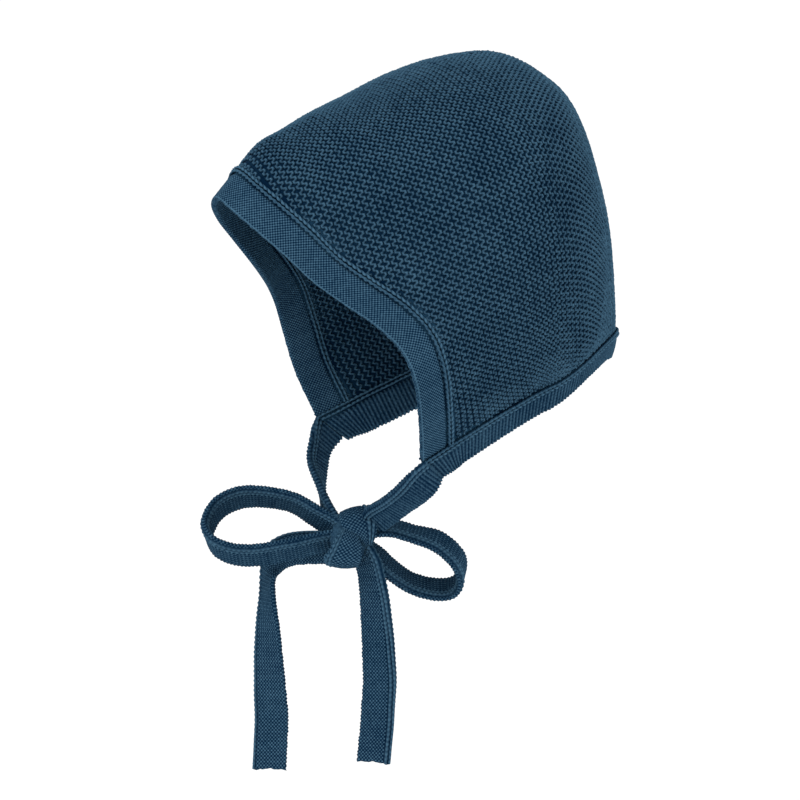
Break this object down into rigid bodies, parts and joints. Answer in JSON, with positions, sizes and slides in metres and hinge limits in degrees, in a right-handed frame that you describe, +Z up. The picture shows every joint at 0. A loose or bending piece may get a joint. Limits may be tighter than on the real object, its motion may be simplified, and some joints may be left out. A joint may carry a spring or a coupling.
{
  "type": "baby bonnet",
  "caption": "Knitted baby bonnet in its worn shape: hollow garter-stitch crown, smooth face band, ribbed neck band and flat ties fastened in a bow below the chin.",
  "frame": {"origin": "inside of the top of the crown, where the bonnet sits on the head (mount head_seat)", "axes": "+Z up as worn; the face looks along -Y; +X is the wearer's left; the crown is symmetric about X=0, the bow is not"},
  "size_m": [0.1206, 0.1825, 0.2859],
  "materials": {
    "wool": "matte teal-blue wool knit",
    "seam_wool": "matte teal-blue wool, chain-stitched seam"
  },
  "bodies": {
    "root": {"crown": "wool", "face_band": "wool", "neck_band": "wool", "tie_left": "wool", "tie_right": "wool", "bow_knot": "wool", "bow_loop_left": "wool", "bow_loop_right": "wool", "tie_end_left": "wool", "tie_end_right": "wool", "face_seam": "seam_wool", "neck_seam": "seam_wool"}
  },
  "joints": []
}
